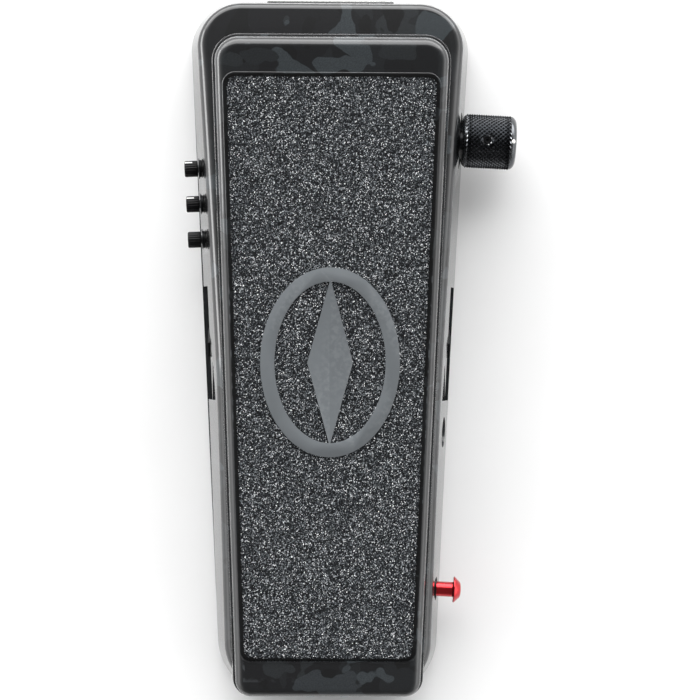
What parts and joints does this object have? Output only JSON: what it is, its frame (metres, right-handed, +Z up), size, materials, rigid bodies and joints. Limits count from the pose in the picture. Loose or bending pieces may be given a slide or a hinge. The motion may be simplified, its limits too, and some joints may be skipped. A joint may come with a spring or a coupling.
{
  "type": "guitar wah pedal",
  "caption": "Foot-rocker wah pedal: cast housing, treadle with grit pad, knurled range knob, small trim knobs and a side kick switch.",
  "frame": {"origin": "bottom centre of the bounding box, on the floor the feet stand on", "axes": "+Y towards the toe end, +X towards the range knob's side, +Z up"},
  "size_m": [0.12, 0.254, 0.0642],
  "materials": {
    "housing_paint": "satin camouflage paint in near-black and cool greys",
    "grit_sheet": "coarse sparkling grit sheet",
    "emblem_film": "smooth matt grey inlay",
    "black_steel": "black zinc plated steel",
    "steel": "plated steel",
    "brass": "turned brass",
    "nylon": "natural moulded nylon",
    "rubber": "moulded black rubber",
    "black_plastic": "moulded black plastic",
    "black_anodised": "knurled black anodised aluminium",
    "red_anodised": "polished red anodised aluminium",
    "lens": "clear diffused lens",
    "board": "green solder mask with small parts",
    "battery_case": "printed metal jacket, left plain"
  },
  "bodies": {
    "housing": {"chassis": "housing_paint", "base_plate": "black_steel", "foot_toe_left": "rubber", "foot_screw_toe_left": "steel", "foot_toe_right": "rubber", "foot_screw_toe_right": "steel", "foot_heel_left": "rubber", "foot_screw_heel_left": "steel", "foot_heel_right": "rubber", "foot_screw_heel_right": "steel", "toe_bumper_left": "rubber", "heel_bumper_left": "rubber", "pivot_bushing_left": "nylon", "status_led_left": "lens", "toe_bumper_right": "rubber", "heel_bumper_right": "rubber", "pivot_bushing_right": "nylon", "status_led_right": "lens", "wah_pot_body": "steel", "wah_pot_nut": "steel", "pot_bracket": "steel", "footswitch_body": "black_plastic", "footswitch_nut": "steel", "input_jack": "black_plastic", "input_jack_nut": "black_plastic", "output_jack": "black_plastic", "output_jack_nut": "black_plastic", "power_jack": "black_plastic", "circuit_board": "board", "inductor": "brass", "battery_9v": "battery_case", "battery_clip": "black_plastic", "range_switch_body": "black_plastic", "trim_pot_1": "black_plastic", "trim_nut_1": "black_steel", "trim_pot_2": "black_plastic", "trim_nut_2": "black_steel", "trim_pot_3": "black_plastic", "trim_nut_3": "black_steel", "kick_switch_body": "black_plastic"},
    "treadle": {"treadle": "housing_paint", "grip_pad": "grit_sheet", "emblem": "emblem_film", "toe_pad": "rubber", "pivot_rod": "steel", "pivot_set_screw": "black_steel", "rack_pin": "steel"},
    "rack": {"rack": "nylon"},
    "pinion": {"pinion_gear": "nylon", "wah_pot_shaft": "brass"},
    "foot_switch": {"footswitch_plunger": "steel"},
    "range_knob": {"range_knob": "black_anodised", "range_set_screw": "black_steel", "range_switch_shaft": "black_steel"},
    "trim_knob_1": {"trim_knob_1": "black_plastic"},
    "trim_knob_2": {"trim_knob_2": "black_plastic"},
    "trim_knob_3": {"trim_knob_3": "black_plastic"},
    "kick_switch": {"kick_switch_cap": "red_anodised"}
  },
  "joints": [
    {"name": "treadle_rock", "type": "hinge", "parent": "housing", "child": "treadle", "pos_m": [-0.0075, -0.006, 0.04], "axis": [-1, 0, 0], "range_deg": [0, 13.5]},
    {"name": "rack_slide", "type": "slide", "parent": "housing", "child": "rack", "axis": [0, 0, -1], "range_m": [0, 0.0105]},
    {"name": "pinion_spin", "type": "hinge", "parent": "housing", "child": "pinion", "pos_m": [-0.0075, 0.0295, 0.02], "axis": [-1, 0, 0], "range_deg": [0, 120]},
    {"name": "foot_switch_press", "type": "slide", "parent": "housing", "child": "foot_switch", "axis": [0, 0, -1], "range_m": [0, 0.002], "stiffness_N_per_m": 2500},
    {"name": "kick_switch_press", "type": "slide", "parent": "housing", "child": "kick_switch", "axis": [-0.9988, 0.0492, 0], "range_m": [0, 0.0025], "stiffness_N_per_m": 1200},
    {"name": "range_turn", "type": "hinge", "parent": "housing", "child": "range_knob", "pos_m": [0.03946, 0.0757, 0.017], "axis": [0.9988, -0.0492, 0], "range_deg": [-75, 75]},
    {"name": "trim_turn_1", "type": "hinge", "parent": "housing", "child": "trim_knob_1", "pos_m": [-0.05335, 0.0648, 0.0205], "axis": [-0.9988, -0.0492, 0], "range_deg": [-135, 135]},
    {"name": "trim_turn_2", "type": "hinge", "parent": "housing", "child": "trim_knob_2", "pos_m": [-0.05267, 0.0521, 0.0205], "axis": [-0.9988, -0.0492, 0], "range_deg": [-135, 135]},
    {"name": "trim_turn_3", "type": "hinge", "parent": "housing", "child": "trim_knob_3", "pos_m": [-0.052, 0.0393, 0.0205], "axis": [-0.9988, -0.0492, 0], "range_deg": [-135, 135]}
  ],
  "couplings": [
    {"joint": "rack_slide", "follows": "treadle_rock", "m_per_rad": 0.044},
    {"joint": "pinion_spin", "follows": "treadle_rock", "ratio": 8.8}
  ]
}
